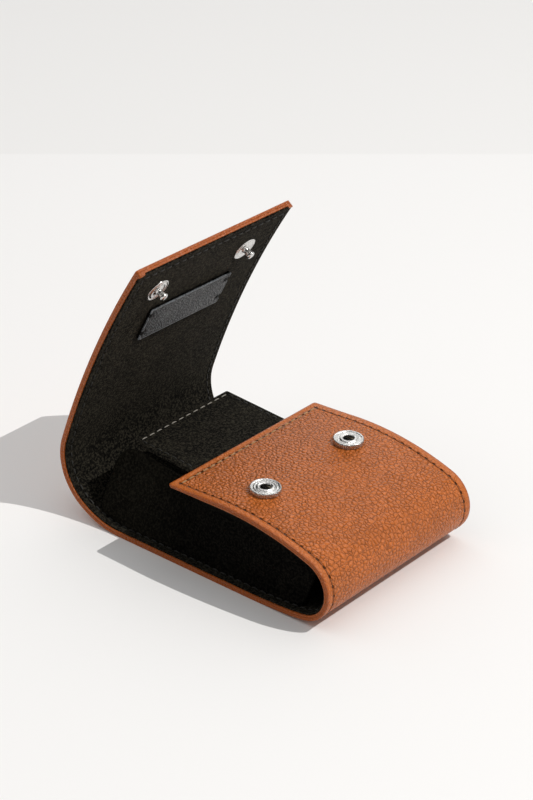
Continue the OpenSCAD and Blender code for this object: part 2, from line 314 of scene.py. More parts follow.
class Finish(Nodes):
    """A material with one Principled shader, whose constants stand on its own sockets."""

    def __init__(self, name, **constants):
        self.material = bpy.data.materials.new(name)
        super().__init__(self.material)
        for socket, value in constants.items():
            self.tree.nodes["Principled BSDF"].inputs[socket.replace("_", " ")].default_value = value

    def place(self, scale=1.0):
        """Where a point is, in the object's own coordinates times scale."""
        here = self.node("ShaderNodeTexCoord", output="Object")
        return self.vector("SCALE", here, Scale=scale)

    def noise(self, where, detail=2.0, roughness=0.5, output=0):
        inputs = {"Vector": where, "Scale": 1.0, "Detail": detail, "Roughness": roughness}
        return self.node("ShaderNodeTexNoise", None, inputs, output)

    def shaken(self, where, by, amount):
        """Coordinates moved about by a noise."""
        push = self.vector("SUBTRACT", self.noise(by, output=1), (0.5, 0.5, 0.5))
        return self.vector("ADD", where, self.vector("SCALE", push, Scale=amount))

    def cell_edge(self, where):
        inputs = {"Vector": where, "Scale": 1.0, "Randomness": 0.9}
        return self.node("ShaderNodeTexVoronoi", {"feature": "DISTANCE_TO_EDGE"}, inputs)

    def mix(self, factor, first, second):
        first, second = (c if isinstance(c, Wire) else (*c, 1) for c in (first, second))
        return self.node("ShaderNodeMix", {"data_type": "RGBA"}, {0: factor, 6: first, 7: second}, 2)

    def bump(self, height, distance):
        inputs = {"Height": height, "Distance": distance, "Strength": 1.0}
        return self.node("ShaderNodeBump", None, inputs)

    def uv(self, name):
        """The two components of a UV map."""
        uv = self.node("ShaderNodeUVMap", {"uv_map": name})
        return self.part(uv, 0), self.part(uv, 1)

    def feed(self, **wires):
        for socket, wire in wires.items():
            self.connect(wire, "Principled BSDF", socket.replace("_", " "))
        return self.material


def tint(colour, factor):
    return tuple(min(1.0, c * factor) for c in colour)


def leather_finish(name, colour, grain, depth):
    """Pebbled leather: rounded cells between fine creases, pressed smoother in the stitched edge."""
    f = Finish(name, Specular_IOR_Level=0.5, Specular_Tint=(1.0, 0.84, 0.70, 1))
    place, fine = f.place(1 / grain), f.place(2.3 / grain)
    gap = f.cell_edge(f.shaken(f.shaken(place, place, 0.30), f.place(2.0 / grain), 0.10))
    faint = f.smooth(f.noise(f.place(0.9 / grain)), 0.40, 0.64)
    crease = f.smooth(gap + faint * 0.045, 0.0, 0.095)
    dome = f.smooth(gap, 0.0, 0.46)
    small = f.smooth(f.cell_edge(f.shaken(fine, fine, 0.4)), 0.0, 0.2)
    pore = f.noise(f.place(7 / grain))
    patch = f.smooth(f.noise(f.place(0.17 / grain)), 0.3, 0.7)

    # The map counts stitches: u is STITCHES_OUT at the side rows, and v is 0 at the row across
    row = float(STITCHES_OUT)
    u, v = f.uv("Stitches")
    beside = (abs(abs(u) - row) ** 2 + (v.to_whole() * 0.55) ** 2) ** 0.5
    across = (v ** 2 + (u.to_whole() * 0.55) ** 2) ** 0.5
    hole = f.smooth(beside.least(across), 0.085, 0.145, 1.0, 0.0) * (abs(u) < row + 0.3) * (v > -0.3)
    edge = f.smooth(abs(u), row, row + 0.35).most(f.smooth(v, -0.3, 0.0, 1.0, 0.0))
    grained = 1 - edge * 0.7

    base = f.mix(patch, tint(colour, 0.95), tint(colour, 1.1))
    base = f.mix(pore * 0.2, base, tint(colour, 1.3))
    # Painted shade: the creases between the pebbles are darkened
    base = f.mix((1 - crease) * grained * 0.34, base, tint(colour, 0.34))
    base = f.mix(edge * 0.5, base, tint(colour, 0.7))
    rim = f.smooth(abs(u), row + 0.6, row + 0.8).most(f.smooth(v, -0.82, -0.66, 1.0, 0.0))
    base = f.mix(rim * 0.8, base, (colour[0] * 0.58, colour[1] * 0.46, colour[2] * 0.25))
    # Painted shade: the needle holes are painted nearly black
    base = f.mix(hole * 0.92, base, tint(colour, 0.07))
    height = (crease * 0.36 + dome * 0.48 + small * 0.10) * grained + pore * 0.06 - hole * 1.3
    rough = pore * 0.08 - crease * grained * 0.12 - rim * 0.10 + 0.41
    return f.feed(Base_Color=base, Roughness=rough, Normal=f.bump(height, depth))


def suede_finish(name, colour, sheen, rear=None):
    """Short nap: fine fibre, flecks, slow patches where the nap lies another way, and a soft sheen."""
    f = Finish(name, Specular_IOR_Level=sheen, Sheen_Weight=sheen, Sheen_Roughness=0.35,
               Sheen_Tint=(0.36, 0.31, 0.23, 1))
    fibre = f.noise(f.shaken(f.place(2600), f.place(1200), 1.2), 4.0, 0.68)
    fleck = f.noise(f.shaken(f.place(1250), f.place(900), 1.0), 3.0, 0.7)
    nap = f.noise(f.shaken(f.place(110), f.place(60), 0.8), 3.0)
    tone = f.smooth(fleck, 0.45, 0.61) * 0.87 + f.smooth(nap, 0.35, 0.7) * 0.13
    low, high = tint(colour, 0.03), tint(colour, 3.5)
    if rear:
        # Painted shade: the side walls' suede is darkened towards the front, under the pocket, and has
        # the lining suede's colour at the rear
        out_of_shade = f.smooth(f.part(f.place(1 / MM), 1), 4.0, 30.0)
        low = f.mix(out_of_shade, low, tint(rear, 0.30))
        high = f.mix(out_of_shade, high, tint(rear, 1.55))
    bump = f.bump(fibre * 0.4 + fleck * 0.5 + nap * 0.1, 0.0006)
    return f.feed(Base_Color=f.mix(tone, low, high), Roughness=fibre * 0.1 + 0.86, Normal=bump)


def patch_finish(name, colour):
    """Glossy leather with a fine pressed grain, painted paler along its edges: wear, and a painted
    highlight.
    """
    f = Finish(name, Specular_IOR_Level=0.6)
    fine = f.place(820)
    crease = f.smooth(f.cell_edge(f.shaken(fine, fine, 0.7)), 0.0, 0.30)
    soft = f.noise(f.place(160), 3.0)
    dent = f.noise(f.place(1300))
    u, v = f.uv("Edge")
    edge = u.least(v)
    rim = f.smooth(edge, 0.28, 0.64, 1.0, 0.0)
    groove = f.smooth(edge, 0.62, 0.80) * f.smooth(edge, 1.05, 1.35, 1.0, 0.0)
    grain = f.smooth(dent, 0.40, 0.60) * 0.6 + crease * 0.4
    base = f.mix(grain, tint(colour, 0.02), tint(colour, 3.2))
    # Painted shade: the groove inside the rim is darkened
    base = f.mix(groove * 0.8, base, tint(colour, 0.04))
    # Painted highlight and wear: the rim is painted paler
    base = f.mix(rim * (soft * 0.5 + 0.5), base, tint(colour, 14.0))
    height = crease * 0.4 + dent * 0.6 - groove * 0.5
    rough = soft * 0.25 - grain * 0.16 + 0.42
    return f.feed(Base_Color=base, Roughness=rough, Normal=f.bump(height, 0.0042))


def board_finish(name, colour):
    """Bonded fibre board."""
    f = Finish(name, Specular_IOR_Level=0.3)
    fibre = f.noise(f.shaken(f.place(1500), f.place(700), 1.5), 4.0, 0.65)
    base = f.mix(fibre, tint(colour, 0.75), tint(colour, 1.25))
    return f.feed(Base_Color=base, Roughness=fibre * 0.1 + 0.82, Normal=f.bump(fibre, 0.0001))


def metal_finish(name, colour, rough, marks):
    """Plated metal with faint polishing marks and duller hollows."""
    f = Finish(name, Metallic=1.0)
    haze = f.noise(f.place(900), 3.0)
    mark = f.noise(f.shaken(f.place(2600), f.place(500), 2.0))
    dull = f.smooth(f.noise(f.place(1700), 3.0), 0.35, 0.65)
    base = f.mix(dull * 0.6 + haze * 0.4, tint(colour, 0.62), tint(colour, 1.08))
    rough = haze * 0.10 + mark * 0.10 + rough
    return f.feed(Base_Color=base, Roughness=rough, Normal=f.bump(mark * 0.5 + dull * 0.5, marks))


def thread_finish(name, colour):
    """Waxed twisted thread."""
    f = Finish(name, Specular_IOR_Level=0.3)
    strands = {"Vector": f.place(), "Scale": 1300, "Distortion": 0.6}
    twist = f.node("ShaderNodeTexWave", {"bands_direction": "DIAGONAL"}, strands)
    wear = f.noise(f.place(700))
    base = f.mix(twist * 0.5 + wear * 0.5, tint(colour, 0.66), tint(colour, 1.25))
    return f.feed(Base_Color=base, Roughness=wear * 0.2 + 0.42, Normal=f.bump(twist, 0.00006))


def stage_finish(name, near, far):
    """Plain pale paper, a touch greyer past a line behind the object where the backdrop turns up: painted
    shade on a floor that stays flat.
    """
    f = Finish(name, Specular_IOR_Level=0.0)
    behind = f.vector("DOT_PRODUCT", f.place(), BACKDROP_WAY, output="Value")
    tooth = f.noise(f.place(55), 3.0)
    base = f.mix(f.smooth(behind, BACKDROP_AT, BACKDROP_AT + 0.003), near, far)
    return f.feed(Base_Color=base, Roughness=tooth * 0.05 + 0.9)


def finish(name):
    """The named finish, made the first time that a piece asks for it."""
    colours = bpy.context.scene.case_colours
    made = bpy.data.materials.get(name)
    if made:
        return made
    makers = {
        "Tan leather": (leather_finish, colours.leather, bpy.context.scene.case_sizes.grain, 0.0012),
        "Black suede": (suede_finish, colours.suede, 0.08),
        "Wall suede": (suede_finish, colours.wall_suede, 0.03, colours.suede),
        "Padding": (suede_finish, colours.wall_suede, 0.03),
        "Patch leather": (patch_finish, colours.patch),
        "Board": (board_finish, colours.board),
        "Nickel": (metal_finish, colours.nickel, 0.15, 0.00013),
        "Polished nickel": (metal_finish, colours.nickel, 0.11, 0.00005),
        "Spring wire": (metal_finish, colours.spring, 0.22, 0.00006),
        "Floor": (stage_finish, colours.floor, colours.wall),
    }
    for kind in ("Tan", "Black", "Cream", "Pale", "Patch"):
        makers[f"{kind} thread"] = (thread_finish, getattr(colours, f"{kind.lower()}_thread"))
    make, *values = makers[name]
    return make(name, *values)


# ---- Modelling helpers ----


def stop_editing():
    if bpy.context.mode != "OBJECT":
        bpy.ops.object.mode_set(mode="OBJECT")


def deselect():
    stop_editing()
    bpy.ops.object.select_all(action="DESELECT")


def only(ob):
    """Make ob the active object and the only selected one."""
    deselect()
    ob.select_set(True)
    bpy.context.view_layer.objects.active = ob


def edit(ob):
    only(ob)
    bpy.ops.object.mode_set(mode="EDIT")


def everything():
    bpy.ops.mesh.select_all(action="SELECT")


def choose(test, kind="VERT"):
    """Select the vertices or edges of the mesh being edited that pass a test, and no others."""
    bpy.ops.mesh.select_mode(type=kind)
    bpy.ops.mesh.select_all(action="DESELECT")
    data = bpy.context.edit_object.data
    mesh = bmesh.from_edit_mesh(data)
    for part in mesh.verts if kind == "VERT" else mesh.edges:
        if test(part):
            part.select_set(True)
    bmesh.update_edit_mesh(data, loop_triangles=False, destructive=False)


def move(x=0.0, y=0.0, z=0.0):
    bpy.ops.transform.translate(value=(x, y, z))


def resize(x, y, z=1.0, about=(0, 0, 0)):
    bpy.ops.transform.resize(value=(x, y, z), center_override=about)


def cut(point, normal):
    """Add a loop where a plane crosses the mesh."""
    everything()
    bpy.ops.mesh.bisect(plane_co=point, plane_no=normal)


def face_outwards():
    everything()
    bpy.ops.mesh.normals_make_consistent(inside=False)


def done(ob, name, material, smooth):
    """Leave edit mode, name the object and give it its finish and smooth shading."""
    only(ob)
    ob.name = ob.data.name = name
    ob.data.materials.clear()
    ob.data.materials.append(finish(material))
    bpy.ops.object.shade_smooth_by_angle(angle=math.radians(smooth))
    return ob


def modify(ob, kind, **settings):
    """Add a modifier and apply it."""
    only(ob)
    made = ob.modifiers.new(kind.title(), kind)
    for name, value in settings.items():
        setattr(made, name, value)
    bpy.ops.object.modifier_apply(modifier=made.name)
    return ob


def join(parts):
    """One object of several."""
    only(parts[0])
    for ob in parts:
        ob.select_set(True)
    bpy.ops.object.join()
    return parts[0]


def remove(helper):
    """Delete a path or a cutter that has done its work."""
    bpy.data.batch_remove((helper, helper.data))


def flat_sheet(half_w, y_from, y_to, step, x_lines=(), y_lines=()):
    """A flat sheet in the edit mode, in millimetres, with extra loops along both sides and across."""
    deselect()
    y_from, y_to = sorted((y_from, y_to))
    length = y_to - y_from
    bpy.ops.mesh.primitive_grid_add(
        x_subdivisions=12, y_subdivisions=round(length / step), size=1, enter_editmode=True
    )
    bpy.ops.transform.resize(value=(2 * half_w * MM, length * MM, 1))
    move(y=(y_from + y_to) / 2 * MM)
    for x in x_lines:
        for side in (-1, 1):
            cut((side * x * MM, 0, 0), (1, 0, 0))
    for y in y_lines:
        cut((0, y * MM, 0), (0, 1, 0))
    everything()
    bpy.ops.mesh.remove_doubles(threshold=0.00002)
    return bpy.context.edit_object


def round_corners(half_w, y_ends, radius):
    """Round the sheet's corners at the given ends."""
    near = 0.01 * MM

    def corner(v):
        return abs(abs(v.co.x) - half_w * MM) < near and any(abs(v.co.y - y * MM) < near for y in y_ends)

    choose(corner)
    bpy.ops.mesh.bevel(offset=radius * MM, segments=3, affect="VERTICES")


def near_row(v, row, reach):
    """Whether a point lies within reach of a row (x, y, inward) along both sides and across an end."""
    row_x, row_y, inward = row
    return abs(min(row_x - abs(v.co.x) / MM, inward * (v.co.y / MM - row_y))) < reach


def press_groove(row, floor, shoulder, face=lambda v: True):
    """Move a face under a row of stitches: by floor on the row itself, and by shoulder beside it."""
    choose(lambda v: face(v) and near_row(v, row, ON_LINE))
    move(z=floor)
    choose(lambda v: face(v) and near_row(v, row, GROOVE_HALF) and not near_row(v, row, ON_LINE))
    move(z=shoulder)


def thicken(ob, thickness):
    """Give a flat sheet its thickness, downwards."""
    modify(ob, "SOLIDIFY", thickness=thickness * MM, offset=-1.0, use_even_offset=False)
    edit(ob)
    face_outwards()


def round_edges(test, angle, radius, segments):
    """Round the edges that pass a test and are at least as sharp as an angle."""

    def sharp(e):
        return len(e.link_faces) == 2 and e.calc_face_angle() >= math.radians(angle)

    choose(lambda e: sharp(e) and test(e), "EDGE")
    bpy.ops.mesh.bevel(offset=radius, segments=segments, affect="EDGES", clamp_overlap=True)


def soften_rim(radius, segments, seam=None):
    """Round the sharp edges round a thick sheet, apart from those at the seam."""

    def free(e):
        return seam is None or any(abs(v.co.y - seam * MM) >= 2e-5 for v in e.verts)

    round_edges(free, 60, radius * MM, segments)


def meet_at_seam(inward):
    """Add a loop just short of the seam, so that both lengths shade alike where they meet."""
    cut((0, (flat_y(SEAM_S) - inward * 0.1) * MM, 0), (0, 1, 0))


def path_along(name, points):
    """A curve through points (Y, Z) in millimetres, which a flat piece can be rolled along."""
    data = bpy.data.curves.new(name, "CURVE")
    data.dimensions, data.twist_mode = "3D", "MINIMUM"
    line = data.splines.new("POLY")
    line.points.add(len(points) - 1)
    for point, (y, z) in zip(line.points, points):
        point.co = (0, y * MM, z * MM, 1)
        point.tilt = math.radians(90)
    ob = bpy.data.objects.new(name, data)
    bpy.context.collection.objects.link(ob)
    return ob


def shell_path():
    """The line of the leather's outer face, run on straight past both of its ends."""
    step, nudge = 0.5, 0.01
    first, length = shell_point(MOUTH_S), TIP_S + RUN_IN - MOUTH_S
    back = (first - shell_point(MOUTH_S + nudge)) / nudge
    points = [first + back * (RUN_IN - i * step) for i in range(round(RUN_IN / step))]
    count = math.ceil(length / step)
    points += [shell_point(MOUTH_S + length * i / count) for i in range(count + 1)]
    return path_along("Shell path", points)


def pare(ob):
    """Thin a flat layer towards the pocket mouth."""
    only(ob)
    for v in ob.data.vertices:
        if v.co.z < 0:
            v.co.z *= pared(v.co.y / MM)


def roll(ob, path):
    """Wrap a flat piece round the case, and merge the points that the bevels left on each other."""
    modify(ob, "CURVE", object=path, deform_axis="POS_Y")
    edit(ob)
    everything()
    bpy.ops.mesh.remove_doubles(threshold=0.002 * MM)
    stop_editing()


def wrap(ob, name, material, smooth, path):
    """Pare a flat layer, give it its name and finish, and roll it round the case."""
    pare(ob)
    done(ob, name, material, smooth)
    roll(ob, path)


def set_uv(ob, name, place):
    """Name the piece's UV map and fill it with what place gives for each point."""
    layer = ob.data.uv_layers[0]
    layer.name = name
    for loop in ob.data.loops:
        layer.data[loop.index].uv = place(ob.data.vertices[loop.vertex_index].co)


def stitch(length, thick, z, under):
    """One stitch along Y at the origin, in the edit mode, its ends pulled into the needle holes."""
    deselect()
    bpy.ops.mesh.primitive_uv_sphere_add(
        segments=6, ring_count=6, radius=0.5, rotation=(math.pi / 2, 0, 0)
    )
    bpy.ops.object.transform_apply(location=False, rotation=True, scale=False)
    ob = bpy.context.object
    edit(ob)
    everything()
    bpy.ops.transform.resize(value=(thick, length, thick * 0.8))
    choose(lambda v: 0.2 * length < abs(v.co.y) < 0.48 * length)
    bpy.ops.transform.resize(value=(1.15, 1.06, 1.15))
    choose(lambda v: abs(v.co.y) > 0.35 * length)
    move(z=-0.35 * thick)
    everything()
    if under:
        bpy.ops.transform.resize(value=(1, 1, -1))
        bpy.ops.mesh.flip_normals()
    move(z=z)
    return ob


def stitch_row(length, thick, z, start, step, count, under=False):
    """A row of stitches from start (x, y) in steps (x, y), all in metres."""
    ob = stitch(length, thick, z, under)
    if abs(step[0]) > abs(step[1]):
        bpy.ops.transform.rotate(value=math.pi / 2, orient_axis="Z", center_override=(0, 0, 0))
    move(start[0] + step[0] / 2, start[1] + step[1] / 2)
    spacing = {"use_relative_offset": False, "use_constant_offset": True}
    return modify(ob, "ARRAY", count=count, constant_offset_displace=(*step, 0), **spacing)


def edge_stitches(name, threads, row_y, z, under, path, bodies, slot):
    """The stitches across one end, and along both sides from there to the seam on the heel."""
    sizes = bpy.context.scene.case_sizes
    x, run = HALF_W * MM - sizes.stitch_inset, (flat_y(SEAM_S) - row_y) * MM
    count = round(abs(run) / sizes.stitch_pitch)
    one = (sizes.stitch_length, sizes.thread, z)
    sides = [stitch_row(*one, (side * x, row_y * MM), (0, run / count), count, under) for side in (-1, 1)]
    end = stitch_row(*one, (-x, row_y * MM), (x / STITCHES_OUT, 0), 2 * STITCHES_OUT, under)
    for ob, called, thread in zip((join(sides), end), (name, name + "_end"), threads):
        wrap(ob, called, thread, 60, path)
        bend(ob, bodies)


def bend(ob, bodies):
    """Find the fold between two bodies and how far it reaches, and bake the piece's transform into its
    mesh.
    """
    joint = next(j for j in frame["joints"] if (j["parent"], j["child"]) == tuple(bodies))
    place, reach = Vector(joint["pos_m"]), FOLD_REACH * FOLD_WAYS[bodies[1]]
    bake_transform(ob)


def chain(points):
    """A line of vertices and edges drawn point by point, in the edit mode of a new object."""
    deselect()
    bpy.ops.mesh.primitive_plane_add(size=0.001, enter_editmode=True)
    bpy.ops.mesh.select_mode(type="VERT")
    everything()
    bpy.ops.mesh.merge(type="CENTER")
    here = Vector(points[0])
    move(*here)
    for point in points[1:]:
        bpy.ops.mesh.extrude_region_move(TRANSFORM_OT_translate={"value": Vector(point) - here})
        here = Vector(point)
    return bpy.context.edit_object


def turned(profile, steps):
    """A turned piece about Z: profile is (radius, z) in millimetres."""
    ob = chain([(r * MM, 0, z * MM) for r, z in profile])
    if profile[0][0] > 0:
        # A ring's profile is closed between its ends
        first, last = (Vector((r * MM, 0, z * MM)) for r, z in (profile[0], profile[-1]))
        choose(lambda v: min((v.co - first).length, (v.co - last).length) < 1e-6)
        bpy.ops.mesh.edge_face_add()
    everything()
    bpy.ops.mesh.spin(steps=steps, angle=2 * math.pi, center=(0, 0, 0), axis=(0, 0, 1))
    everything()
    bpy.ops.mesh.remove_doubles(threshold=1e-6)
    face_outwards()
    return ob


def seat_snap(ob, side, s, depth, turn):
    """Turn one part of a snap about X and put it in its place on the shell, all in its mesh."""
    only(ob)
    ob.rotation_euler = (math.radians(shell_turn(s) + turn), 0, 0)
    ob.location = (side * SNAP_X * MM, *(shell_point(s, depth) * MM))
    bpy.ops.object.transform_apply(location=True, rotation=True, scale=True)


def pierce_for_eyelets(ob):
    """Cut the holes that the sockets' eyelets pass through."""
    for side in (-1, 1):
        deselect()
        bpy.ops.mesh.primitive_cylinder_add(
            vertices=48,
            radius=EYELET_HOLE_R * MM,
            depth=8 * MM,
            location=(side * SNAP_X * MM, flat_y(MOUTH_S + SOCKET_IN) * MM, 0),
        )
        cutter = bpy.context.object
        modify(ob, "BOOLEAN", operation="DIFFERENCE", object=cutter, solver="EXACT")
        remove(cutter)


def loft(rails):
    """A sheet through rails of points, each extruded from the one before and moved to its place."""
    ob = chain(rails[0])
    everything()
    for before, after in zip(rails, rails[1:]):
        bpy.ops.mesh.extrude_region_move()
        mesh = bmesh.from_edit_mesh(ob.data)
        for v in mesh.verts:
            if v.select:
                nearest = min(range(len(before)), key=lambda i: (before[i] - v.co).length_squared)
                v.co = after[nearest]
        bmesh.update_edit_mesh(ob.data)
    return ob


def profile_heights(s_from, s_to):
    """The lining's face as (y, z) points in order of y."""
    count = 160
    along = [s_from + (s_to - s_from) * i / count for i in range(count + 1)]
    return sorted(tuple(shell_point(s, WALL_T * pared(flat_y(s)))) for s in along)


def height_at(points, y):
    """The height of a profile at y, by straight lines between its points."""
    for (y0, z0), (y1, z1) in zip(points, points[1:]):
        if y <= y1:
            return z0 + (z1 - z0) * max(0.0, (y - y0) / max(y1 - y0, 1e-6))
    return points[-1][1]


# ---- Pieces ----


class CasePiece:
    """What the operators share."""

    bl_options = {"REGISTER", "UNDO"}

    def execute(self, context):
        self.make(context.scene.case_sizes)
        return {"FINISHED"}


class CASE_OT_leather(CasePiece, bpy.types.Operator):
    """Model the outer leather, turned in at its edges"""

    bl_idname = "case.leather"
    bl_label = "Outer leather"

    CORNER_R = 1.3
    # Loops across a stitch row, from the row itself
    BESIDE = (-0.75, -0.3, 0, 0.3, 0.75)
    # Between the stitches and the edge the leather is full: how far in, and how high in metres
    CROWN_IN, CROWN_UP = 1.15, 0.00012
    # At the lid's corners the two turned edges are folded over each other
    CORNER_W, CORNER_LONG, CORNER_T = 2.6, 1.7, 0.75
    # The line in the rim: the depths of its three loops, and how far the middle one moves
    LINE_DEPTHS, LINE_PRESS = (1.02, 1.15, 1.28), 0.14

    def length(self, sizes, name, end_s, path, bodies):
        """One length of leather, from an end to the seam on the heel."""
        inward = 1 if end_s < 0 else -1
        end, seam, inset = flat_y(end_s), flat_y(SEAM_S), sizes.stitch_inset / MM
        row, row_y = HALF_W - inset, end + inward * inset
        lines = [row + d for d in self.BESIDE]
        lines += [HALF_W - d for d in (self.CROWN_IN, HEM_W, HEM_W - 0.1)]
        across = [end + inward * d for d in (self.CROWN_IN, TIP_HEM, TIP_HEM + 0.1)]
        across += [row_y + inward * d for d in self.BESIDE[1:]]
        ob = flat_sheet(HALF_W, end, seam, FINE_STEP, lines, across)
        round_corners(HALF_W, [end], self.CORNER_R)
        press_groove((row, row_y, inward), -sizes.groove, -0.55 * sizes.groove)
        crown = (HALF_W - self.CROWN_IN, end + inward * self.CROWN_IN, inward)
        choose(lambda v: near_row(v, crown, ON_LINE))
        move(z=self.CROWN_UP)
        thicken(ob, HEM_T)
        self.shape_back(end, inward)
        self.round_rim(sizes, end, seam)
        self.mark_rim(end)
        meet_at_seam(inward)
        only(ob)
        if inward > 0:
            pierce_for_eyelets(ob)
        u = (HALF_W * MM - sizes.stitch_inset) / STITCHES_OUT
        pitch = (seam - row_y) / round(abs(seam - row_y) * MM / sizes.stitch_pitch)
        set_uv(ob, "Stitches", lambda co: (co.x / u, (co.y - row_y * MM) / (pitch * MM)))
        wrap(ob, name, "Tan leather", 50, path)
        bend(ob, bodies)
        return ob

    def shape_back(self, end, inward):
        """Leave the leather single inside the hem, where the board lies in the hollow."""
        low = lambda v: v.co.z < -0.0015

        def in_hollow(v):
            y = inward * (v.co.y / MM - end)
            return low(v) and abs(v.co.x) / MM < HALF_W - HEM_W + ON_LINE and y > TIP_HEM + ON_LINE

        def in_corner(v):
            beside = abs(v.co.x) / MM > HALF_W - self.CORNER_W
            return low(v) and beside and abs(v.co.y / MM - end) < self.CORNER_LONG

        choose(low)
        resize(1, 1, 0, about=(0, 0, -HEM_T * MM))
        choose(in_hollow)
        move(z=(HEM_T - LEATHER_T) * MM)
        if inward < 0:
            choose(in_corner)
            move(z=-self.CORNER_T * MM)

    def round_rim(self, sizes, end, seam):
        """Round the outer edges of the leather, and leave the hollow and the seam as they are."""
        near = 2e-5

        def outer(e):
            on_side = all(abs(abs(v.co.x) - HALF_W * MM) < near for v in e.verts)
            by_end = all(abs(v.co.y - end * MM) < 1.4e-3 for v in e.verts)
            off_rim = lambda v: abs(v.co.x) < HALF_W * MM - near and abs(v.co.y - end * MM) > near
            inside = all(off_rim(v) for v in e.verts)
            level = abs(e.verts[0].co.z - e.verts[1].co.z) < 5e-4
            at_seam = all(abs(v.co.y - seam * MM) < 1e-5 for v in e.verts)
            return level and (on_side or by_end and not inside) and not at_seam

        round_edges(outer, 50, sizes.edge_round, 4)

    def mark_rim(self, end):
        """Mark where the turned edge meets the leather's back: a crease, and a ridge at the mouth."""
        for depth in self.LINE_DEPTHS:
            cut((0, 0, -depth * MM), (0, 0, 1))
        on_line = lambda v: abs(v.co.z + self.LINE_DEPTHS[1] * MM) < 1e-5
        choose(lambda v: on_line(v) and abs(v.co.x) > (HALF_W - 0.3) * MM)
        resize(1 - self.LINE_PRESS / HALF_W, 1)
        choose(lambda v: on_line(v) and abs(v.co.y - end * MM) < 0.3 * MM)
        move(y=-self.LINE_PRESS * MM)

    def make(self, sizes):
        path = shell_path()
        lower = self.length(sizes, "leather_pocket_and_base", MOUTH_S, path, ("shell", "heel"))
        upper = self.length(sizes, "leather_lid", TIP_S, path, ("heel", "lid"))
        remove(path)
        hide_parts("shell_leather", "heel_leather")
        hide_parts("lid_leather")


class CASE_OT_lining(CasePiece, bpy.types.Operator):
    """Model the suede lining, glued to the leather and drawn in by the stitches"""

    bl_idname = "case.lining"
    bl_label = "Suede lining"

    CORNER_R, RIM_R = 2.4, 0.25
    # Loops across a stitch row, from the row itself
    BESIDE = (-0.8, -0.3, 0, 0.3, 0.8)
    # How far the stitches draw the suede in, in metres, on their row and beside it
    ROW_IN, BESIDE_IN = 0.00022, 0.00012

    def length(self, sizes, name, end_s, path, bodies):
        """One length of lining, from an end to the seam on the heel."""
        inward = 1 if end_s < 0 else -1
        inset = sizes.stitch_inset / MM
        end, seam = flat_y(end_s + inward * LINING_SHORT), flat_y(SEAM_S)
        row, row_y = HALF_W - inset, flat_y(end_s + inward * inset)
        lines = [row + d for d in self.BESIDE] + [LINING_HALF_W - 0.6]
        across = [row_y + d for d in self.BESIDE] + [end + inward * 0.5]
        ob = flat_sheet(LINING_HALF_W, end, seam, FINE_STEP, lines, across)
        round_corners(LINING_HALF_W, [end], self.CORNER_R)
        thicken(ob, WALL_T - HEM_T)
        inner = lambda v: v.co.z < -0.0003
        press_groove((row, row_y, inward), self.ROW_IN, self.BESIDE_IN, inner)
        soften_rim(self.RIM_R, 2, seam)
        meet_at_seam(inward)
        everything()
        move(z=-HEM_T * MM)
        if inward > 0:
            pierce_for_eyelets(ob)
        wrap(ob, name, "Black suede", 50, path)
        bend(ob, bodies)
        return ob

    def make(self, sizes):
        path = shell_path()
        lower = self.length(sizes, "lining_pocket_and_base", MOUTH_S, path, ("shell", "heel"))
        upper = self.length(sizes, "lining_lid", TIP_S, path, ("heel", "lid"))
        remove(path)
        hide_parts("shell_lining", "heel_lining")
        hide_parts("lid_lining")


class CASE_OT_board(CasePiece, bpy.types.Operator):
    """Model the board between the leather and the lining of the pocket and base"""

    bl_idname = "case.board"
    bl_label = "Shell board"

    # Room round the board in its hollow: at its sides, at the mouth and on each face
    SIDE_GAP, END_GAP, FACE_GAP = 0.1, 0.2, 0.01
    RIM_R = 0.15

    def make(self, sizes):
        half_w, start = HALF_W - HEM_W - self.SIDE_GAP, flat_y(MOUTH_S) + TIP_HEM + self.END_GAP
        path = shell_path()
        ob = flat_sheet(half_w, start, flat_y(BOARD_END_S), FINE_STEP)
        thicken(ob, HEM_T - LEATHER_T - 2 * self.FACE_GAP)
        soften_rim(self.RIM_R, 2)
        everything()
        move(z=-(LEATHER_T + self.FACE_GAP) * MM)
        pierce_for_eyelets(ob)
        wrap(ob, "board_pocket_and_base", "Board", 50, path)
        remove(path)
        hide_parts("shell_reinforcement")
        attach(ob, "shell")


class CASE_OT_edge_stitching(CasePiece, bpy.types.Operator):
    """Sew round the case: tan thread outside, darkened as painted shade and painted paler across the
    mouth as painted highlight, black inside
    """

    bl_idname = "case.edge_stitching"
    bl_label = "Edge stitching"

    # Heights of the stitches on the flat layout, in metres
    OUTSIDE, INSIDE = -0.00010, -(WALL_T * MM + 0.00002)

    def make(self, sizes):
        path = shell_path()
        inset = sizes.stitch_inset / MM
        lengths = (
            ("base", flat_y(MOUTH_S + inset), ("shell", "heel"), "Cream thread"),
            ("lid", flat_y(TIP_S - inset), ("heel", "lid"), "Tan thread"),
        )
        for part, row_y, bodies, end in lengths:
            place = (row_y, self.OUTSIDE, False, path, bodies)
            edge_stitches(f"thread_outside_{part}", ("Tan thread", end), *place, "tan_leather")
        for part, row_y, bodies, _ in lengths:
            place = (row_y, self.INSIDE, True, path, bodies)
            edge_stitches(f"thread_inside_{part}", ("Black thread",) * 2, *place, "black_suede")
        remove(path)


